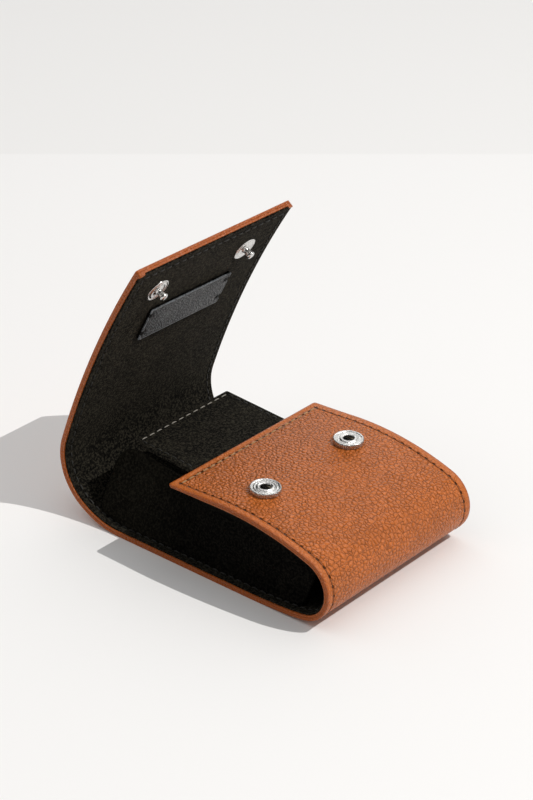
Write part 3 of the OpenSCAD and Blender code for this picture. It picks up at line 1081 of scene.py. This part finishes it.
class CASE_OT_side_walls(CasePiece, bpy.types.Operator):
    """Drape the two soft side walls, sewn in along the base and under the pocket"""

    bl_idname = "case.side_walls"
    bl_label = "Side walls"

    # Along the wall: y, how far out its shoulder and its top are, and the height of a free top
    STATIONS = (
        (-49.0, 35.3, 37.2, None), (-44.0, 35.2, 37.2, None), (-36.0, 35.2, 37.2, None),
        (-28.0, 35.1, 37.2, None), (-20.0, 34.9, 37.2, None), (-12.0, 34.4, 36.8, None),
        (-5.0, 33.4, 35.8, None), (1.0, 31.8, 33.6, None), (5.0, 30.2, 31.2, 28.5),
        (8.5, 28.9, 29.0, 27.6), (12.5, 28.0, 27.6, 27.0), (17.0, 27.4, 26.8, 26.9),
        (22.0, 27.0, 26.2, 27.3), (27.0, 26.8, 25.9, 27.9), (32.0, 26.8, 25.8, 28.5),
        (36.5, 26.9, 25.8, 28.95), (39.4, 27.1, 25.9, 28.9), (41.6, 27.5, 26.4, 28.0),
        (43.2, 28.0, 27.1, 26.6), (44.4, 28.6, 28.0, 24.6), (45.3, 29.2, 28.8, 22.4),
        (45.9, 29.9, 29.7, 20.0), (46.1, 30.4, 30.4, 17.6),
    )

    # The sheet curves up from its foot: how far out each rail is, and how high above the lining
    FOOT = ((36.4, 0.15), (36.0, 0.45), (35.55, 1.3), (35.2, 2.8))
    # Above the foot: how far out and how high the rise starts, and how far the sheet bellies out
    RISE_X, RISE_Z, BELLY = 34.95, 4.6, 0.7
    # The shoulder's share of the rise, the rails above the foot, and the gap under the pocket
    SHOULDER, RAILS, UNDER_POCKET = 0.8, 9, 0.75
    # The upright seam at the rear, and how far it stands out
    SEAM_Y, SEAM_OUT = 41.6, 0.4
    # Ahead of this line the sheet leans forward above this height, in full after the run
    LEAN_Y, LEAN_Z, LEAN_RUN, LEAN = -36.0, 2, 13.0, 0.42
    THICK, RIM_R = 1.15, 0.42
    # The cut's longest and highest measures and its area, from the sheet laid flat
    FLAT, FLAT_AREA = (0.104, 0.0284), 0.002625

    def above_foot(self, t, shoulder, top):
        """How far out the sheet is at a share of its rise."""
        out = (shoulder - self.RISE_X) * min(1.0, t / self.SHOULDER)
        x = self.RISE_X + out + self.BELLY * math.sin(math.pi * min(1.0, t * 1.05))
        if t > self.SHOULDER:
            x += (top - shoulder) * ((t - self.SHOULDER) / (1 - self.SHOULDER)) ** 2
        return x

    def rails(self):
        """The sheet's middle surface, as rails from the foot to the top."""
        # The lining below and above the wall, as far along the shell as the wall reaches
        floor = profile_heights(-FLAT_LEN - 30, 14)
        pocket = profile_heights(MOUTH_S, MOUTH_S + 66)
        rails = []
        for k in range(len(self.FOOT) + self.RAILS):
            rail = []
            for y, shoulder, top, free in self.STATIONS:
                low = height_at(floor, y)
                high = height_at(pocket, y) - self.UNDER_POCKET if free is None else free
                if k < len(self.FOOT):
                    x, z = self.FOOT[k][0], low + self.FOOT[k][1]
                else:
                    t = (k - len(self.FOOT)) / (self.RAILS - 1)
                    x = self.above_foot(t, shoulder, top) + (self.SEAM_OUT if y == self.SEAM_Y else 0)
                    z = low + self.RISE_Z + (high - low - self.RISE_Z) * t
                share = max(0.0, min(1.0, (self.LEAN_Y - y) / self.LEAN_RUN))
                ahead = share * max(0.0, z - low - self.LEAN_Z) * self.LEAN
                rail.append(Vector((x, y - ahead, z)) * MM)
            rails.append(rail)
        return rails

    def make(self, sizes):
        for side, name in ((1, "right"), (-1, "left")):
            ob = loft(self.rails())
            if side < 0:
                everything()
                resize(-1, 1)
            face_outwards()
            modify(ob, "SOLIDIFY", thickness=self.THICK * MM, offset=0.0, use_even_offset=False)
            edit(ob)
            soften_rim(self.RIM_R, 2)
            modify(ob, "SUBSURF", levels=2, render_levels=2)
            # The walls wear the suede darkened with painted shade
            done(ob, f"side_wall_suede_{name}", "Wall suede", 60)
            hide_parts(f"side_wall_{name}")
            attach(ob, "shell")


class CASE_OT_inner_flap(CasePiece, bpy.types.Operator):
    """Model the stiff flap that covers the watch, sewn round its edge"""

    bl_idname = "case.inner_flap"
    bl_label = "Inner flap"

    HALF_W, THICK, INSET, CORNER_R, RIM_R = 25.2, 1.7, 1.8, 2.6, 0.5
    # The line of the flap's middle, rounded by cutting its corners
    LINE = ((-26.655, 28.673), (-16.0, 28.84), (0.0, 28.84), (8.6, 28.92), (24.0, 30.02), (39.8, 31.08))
    # Thread, in metres: a stitch's length, how thick it is along the sides and the end, and its lift
    STITCH_LONG, SIDE_THREAD, END_THREAD, LIFT = 0.0026, 0.0005, 0.0004, 0.00002
    END_STITCHES, DRAWN_IN = 12, 0.0002

    def line(self):
        points = [Vector(p) for p in self.LINE]
        for _ in range(4):
            rounder = [points[0]]
            for a, b in zip(points, points[1:]):
                rounder += [a * 0.75 + b * 0.25, a * 0.25 + b * 0.75]
            points = rounder + [points[-1]]
        return points

    def make(self, sizes):
        points = self.line()
        length = sum((b - a).length for a, b in zip(points, points[1:]))
        path = path_along("Flap path", points)
        row, far = self.HALF_W - self.INSET, length - self.INSET
        beside, near_edge = (-0.5, 0, 0.5), 0.8
        lines = [row + d for d in beside] + [self.HALF_W - near_edge]
        across = [far + d for d in beside] + [length - near_edge]
        ob = flat_sheet(self.HALF_W, 0, length, SMALL_STEP, lines, across)
        round_corners(self.HALF_W, [length], self.CORNER_R)
        top = self.THICK / 2 * MM
        everything()
        move(z=top)
        thicken(ob, self.THICK)
        for side in (-1, 1):
            choose(lambda v: near_row(v, (row, far, -1), ON_LINE) and side * v.co.z > 0)
            move(z=-side * self.DRAWN_IN)
        soften_rim(self.RIM_R, 3)
        done(ob, "flap_suede", "Black suede", 50)
        roll(ob, path)
        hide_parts("flap_top_face", "flap_core", "flap_under_face")
        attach(ob, "flap")

        count, x, far = round(far * MM / sizes.stitch_pitch), row * MM, far * MM
        across = 2 * x / self.END_STITCHES
        # On top, the end row is painted pale as painted highlight
        for under, word, end_thread in ((False, "top", "Pale thread"), (True, "under", "Black thread")):
            z = (-1 if under else 1) * (top + self.LIFT)
            one = (self.STITCH_LONG, self.SIDE_THREAD, z)
            sides = [stitch_row(*one, (s * x, far), (0, -far / count), count - 2, under) for s in (-1, 1)]
            one = (self.STITCH_LONG, self.END_THREAD, z)
            end = stitch_row(*one, (-x, far), (across, 0), self.END_STITCHES, under)
            done(join(sides), f"flap_thread_{word}_sides", "Black thread", 60)
            done(end, f"flap_thread_{word}_end", end_thread, 60)
            for part in (sides[0], end):
                roll(part, path)
                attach(part, "flap")
        remove(path)


class CASE_OT_patch(CasePiece, bpy.types.Operator):
    """Model the bare leather patch inside the lid, its padding and its corner stitches"""

    bl_idname = "case.patch"
    bl_label = "Patch"

    HALF_W, LONG, FROM_TIP = 21.0, 16.3, 27.5
    LOW, HIGH = flat_y(TIP_S - FROM_TIP - LONG), flat_y(TIP_S - FROM_TIP)
    PAD_T, LEATHER_T, PAD_SHORT = 0.85, 0.5, 0.15
    CORNER_R, RIM_R = 0.9, 0.2
    # Two stitches lie side by side at each corner, this far in from the long edges
    STITCH_IN, STITCH_APART, STITCH_LONG = 3.4, 1.0, 2.3
    # They dent the leather and draw its short edge in
    DENT, DRAWN_IN = 0.3, 0.5

    def slab(self, name, material, thick, depth, short, dents):
        """One layer of the patch, its outer face at a depth below the leather's outer face."""
        low, high, half_w = self.LOW + short, self.HIGH - short, self.HALF_W - short
        rows = [low + self.STITCH_IN, high - self.STITCH_IN] if dents else []
        near_edge = 0.8
        lines = [half_w - near_edge] + [half_w - self.STITCH_LONG - d for d in (0, 0.6) if dents]
        across = [low + near_edge, high - near_edge]
        across += [y + d for y in rows for d in (-1.3, -0.8, 0.8, 1.3)]

        def at_stitches(v, reach):
            on_row = any(abs(v.co.y / MM - y) < 0.85 for y in rows)
            return on_row and abs(v.co.x) / MM > half_w - reach - 0.1

        def to_edges(co):
            """How far a point is from the short edges and from the long edges, in millimetres."""
            x, y, _ = co / MM
            return half_w - abs(x), min(y - low, high - y)

        ob = flat_sheet(half_w, low, high, SMALL_STEP, lines, across)
        round_corners(half_w, [low, high], self.CORNER_R)
        if dents:
            choose(lambda v: at_stitches(v, 0))
            resize(1 - self.DRAWN_IN / half_w, 1)
        thicken(ob, thick)
        if dents:
            choose(lambda v: at_stitches(v, self.STITCH_LONG))
            move(z=self.DENT * MM)
        soften_rim(self.RIM_R, 3)
        everything()
        move(z=-depth * MM)
        done(ob, name, material, 50)
        set_uv(ob, "Edge", to_edges)
        return ob

    def make(self, sizes):
        path = shell_path()
        face = WALL_T + self.PAD_T
        # The padding wears the suede darkened with painted shade, so that its edge shows as a dark band
        # round the patch
        pad = self.slab("patch_padding", "Padding", self.PAD_T, WALL_T, self.PAD_SHORT, False)
        top = self.slab("patch_leather", "Patch leather", self.LEATHER_T, face, 0.0, True)
        z = -(face + self.LEATHER_T - self.DENT) * MM
        x, along, thick = (self.HALF_W - 0.1) * MM, self.STITCH_LONG * MM, 0.6 * MM
        stitches = [
            stitch_row(along, thick, z, (side * x, (y + apart) * MM), (-side * along, 0), 1, True)
            for side in (-1, 1)
            for y in (self.LOW + self.STITCH_IN, self.HIGH - self.STITCH_IN)
            for apart in (-self.STITCH_APART / 2, self.STITCH_APART / 2)
        ]
        thread = done(join(stitches), "patch_thread", "Patch thread", 60)
        for part in (pad, top, thread):
            roll(part, path)
            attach(part, "lid")
        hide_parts("lid_patch")
        remove(path)


class CASE_OT_sockets(CasePiece, bpy.types.Operator):
    """Turn the two snap sockets on the pocket"""

    bl_idname = "case.sockets"
    bl_label = "Snap sockets"

    PROFILE = (
        (2.9, -0.25), (5.0, -0.25), (5.05, 0.08), (5.3, 0.16), (5.52, 0.28), (5.62, 0.46),
        (5.66, 0.66), (5.66, 1.52), (5.60, 1.72), (5.45, 1.84), (5.24, 1.88), (4.98, 1.83),
        (4.80, 1.72), (4.68, 1.58), (4.50, 1.54), (4.32, 1.58), (4.20, 1.68), (4.02, 1.73),
        (3.84, 1.70), (3.66, 1.58), (3.48, 1.55), (3.30, 1.64), (3.14, 1.86), (2.96, 2.04),
        (2.76, 2.11), (2.54, 2.10), (2.30, 2.00), (2.10, 1.86), (1.98, 1.7), (1.98, 1.1), (3.2, 1.1),
        (3.2, 0.5), (2.9, 0.5),
    )

    # The knurled rim is outside this radius, and every other column of it is pressed in
    KNURLED_FROM, PRESSED = 5.4, 0.952

    def make(self, sizes):
        step = math.pi / sizes.knurls

        def valley(v):
            r = math.hypot(v.co.x, v.co.y) / MM
            column = round(math.atan2(v.co.y, v.co.x) / step)
            return r > self.KNURLED_FROM and v.co.z > 0.0004 and column % 2 == 0

        for side, name in ((-1, "left"), (1, "right")):
            ob = turned(self.PROFILE, 2 * sizes.knurls)
            choose(valley)
            resize(self.PRESSED, self.PRESSED)
            done(ob, f"snap_socket_{name}", "Nickel", 32)
            seat_snap(ob, side, MOUTH_S + SOCKET_IN, 0, 0)
            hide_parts(f"socket_{name}")
            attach(ob, "shell")


class CASE_OT_studs(CasePiece, bpy.types.Operator):
    """Turn the two snap studs inside the lid"""

    bl_idname = "case.studs"
    bl_label = "Snap studs"

    PROFILE = (
        (0, -0.1), (4.88, -0.1), (4.93, 0.1), (4.88, 0.28), (4.74, 0.40), (4.55, 0.44), (4.36, 0.41),
        (4.2, 0.33), (3.98, 0.29), (3.78, 0.33), (3.6, 0.44), (3.4, 0.52), (3.15, 0.53), (2.95, 0.46),
        (2.7, 0.40), (2.25, 0.40), (1.9, 0.46), (1.55, 0.62), (1.27, 0.88), (1.15, 1.2), (1.15, 2.25),
        (1.24, 2.55), (1.46, 2.8), (1.6, 3.05), (1.64, 3.35), (1.57, 3.68), (1.34, 3.96), (0.95, 4.12),
        (0.45, 4.19), (0, 4.2),
    )

    def make(self, sizes):
        for side, name in ((-1, "left"), (1, "right")):
            ob = turned(self.PROFILE, 64)
            done(ob, f"snap_stud_{name}", "Polished nickel", 32)
            seat_snap(ob, side, TIP_S - STUD_IN, WALL_T, 180)
            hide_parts(f"stud_{name}")
            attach(ob, "lid")


class CASE_OT_kept_parts(CasePiece, bpy.types.Operator):
    """Give the parts that keep their CAD shape their real finish"""

    bl_idname = "case.kept_parts"
    bl_label = "Other boards, eyelets and springs"

    FINISHES = {
        "heel_reinforcement": "Board", "lid_reinforcement": "Board",
        "flap_root": "Black suede", "socket_eyelet_left": "Nickel", "socket_eyelet_right": "Nickel",
        "stud_rivet_left": "Nickel", "stud_rivet_right": "Nickel", "socket_springs": "Spring wire",
    }

    def make(self, sizes):
        for node, name in self.FINISHES.items():
            slots = frame["nodes"][node].material_slots
            for slot in slots:
                slot.material = finish(name)
            if not slots:
                raise RuntimeError(f"{node} has no material slot")


class CASE_OT_stage(CasePiece, bpy.types.Operator):
    """Set up the floor, the light and the camera"""

    bl_idname = "case.stage"
    bl_label = "Stage"

    FLOOR = 40
    CAMERA, LENS, SENSOR, NEAR_CLIP = Vector((-0.5514, -0.4754, 0.4409)), 105.1, 36, 0.01
    RIGHT, UP = Vector((0.6518, -0.7584, 0)), Vector((0.3574, 0.3072, 0.8820))
    FORWARD = Vector((0.6689, 0.5749, -0.4713))
    KEY, KEY_RADIUS, KEY_STRENGTH = Vector((0.2252, -0.5138, 0.7038)), 0.020, 2.5
    KEY_COLOUR = (1.0, 0.985, 0.965)
    SOFT_WAY, SOFT_STRENGTH, SOFT_SPREAD = Vector((-0.30, -0.40, -0.87)), 1.00, 110
    AROUND = 0.32
    # What metal mirrors: a pale room, its brightest way, and its levels on the far side and there
    ROOM, BRIGHT_WAY, DIM, BRIGHT = (0.86, 0.855, 0.845, 1), (0.62, 0.42, 0.66), 0.10, 1.05

    def make(self, sizes):
        deselect()
        bpy.ops.mesh.primitive_plane_add(size=self.FLOOR)
        floor = bpy.context.object
        floor.name = "floor"
        floor.data.materials.append(finish("Floor"))
        floor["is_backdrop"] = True

        bpy.ops.object.camera_add(location=self.CAMERA)
        camera = bpy.context.object
        camera.rotation_euler = Matrix((self.RIGHT, self.UP, -self.FORWARD)).transposed().to_euler()
        camera.data.lens, camera.data.sensor_width = self.LENS, self.SENSOR
        camera.data.clip_start = self.NEAR_CLIP
        bpy.context.scene.camera = camera

        bpy.ops.object.light_add(type="POINT", radius=self.KEY_RADIUS, location=self.KEY)
        lamp = bpy.context.object.data
        lamp.color = self.KEY_COLOUR
        # The lamp is as strong on the far floor as on the near
        key = Nodes(lamp)
        steady = key.node("ShaderNodeLightFalloff", None, {"Strength": self.KEY_STRENGTH}, "Constant")
        key.connect(steady, "Emission", "Strength")
        bpy.ops.object.light_add(type="SUN", rotation=self.SOFT_WAY.to_track_quat("-Z", "Y").to_euler())
        lamp = bpy.context.object.data
        lamp.energy, lamp.angle = self.SOFT_STRENGTH, math.radians(self.SOFT_SPREAD)
        self.surround()
        bpy.context.scene.view_settings.view_transform = "Standard"

    def surround(self):
        """Even light from all round, and for what is seen in metal a pale room with one darker side."""
        world = bpy.data.worlds.new("Studio")
        bpy.context.scene.world = world
        sky = Nodes(world)
        ray = lambda kind: sky.node("ShaderNodeLightPath", output=f"Is {kind} Ray")
        mirrored, direct = ray("Glossy").most(ray("Transmission")), ray("Camera")
        way = sky.node("ShaderNodeTexCoord", output="Generated")
        facing = sky.vector("DOT_PRODUCT", way, self.BRIGHT_WAY, output="Value")
        level = direct.most(sky.smooth(facing, 0.0, 0.95, self.DIM, self.BRIGHT))
        back = lambda colour, strength: sky.node(
            "ShaderNodeBackground", None, {"Color": colour, "Strength": strength}
        )
        light, backdrop = back((1, 1, 1, 1), self.AROUND), back(self.ROOM, level)
        both = sky.node("ShaderNodeMixShader", None, {0: mirrored.most(direct), 1: light, 2: backdrop})
        sky.connect(both, "World Output", "Surface")


class CASE_PT_panel(bpy.types.Panel):
    """The case's pieces, sizes and colours"""

    bl_idname = "CASE_PT_panel"
    bl_label = "Watch Case"
    bl_space_type = "VIEW_3D"
    bl_region_type = "UI"
    bl_category = "Watch Case"

    def draw(self, context):
        for piece in PIECES:
            self.layout.operator(piece.bl_idname)
        for settings in (context.scene.case_sizes, context.scene.case_colours):
            box = self.layout.box()
            for name in settings.bl_rna.properties.keys():
                if name not in ("rna_type", "name"):
                    box.prop(settings, name)


PIECES = (
    CASE_OT_leather,
    CASE_OT_lining,
    CASE_OT_board,
    CASE_OT_edge_stitching,
    CASE_OT_side_walls,
    CASE_OT_inner_flap,
    CASE_OT_patch,
    CASE_OT_sockets,
    CASE_OT_studs,
    CASE_OT_kept_parts,
    CASE_OT_stage,
)
CLASSES = (CaseSizes, CaseColours, *PIECES, CASE_PT_panel)


def register():
    for cls in CLASSES:
        bpy.utils.register_class(cls)
    bpy.types.Scene.case_sizes = bpy.props.PointerProperty(type=CaseSizes)
    bpy.types.Scene.case_colours = bpy.props.PointerProperty(type=CaseColours)


def unregister():
    del bpy.types.Scene.case_colours
    del bpy.types.Scene.case_sizes
    for cls in reversed(CLASSES):
        bpy.utils.unregister_class(cls)


def main():
    register()
    for piece in PIECES:
        group, name = piece.bl_idname.split(".")
        getattr(getattr(bpy.ops, group), name)()
    boxes = {"cad": CAD_BOX, "visual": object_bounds()}
    {name: [list(corner) for corner in box] for name, box in boxes.items()}


if __name__ == "__main__":
    main()
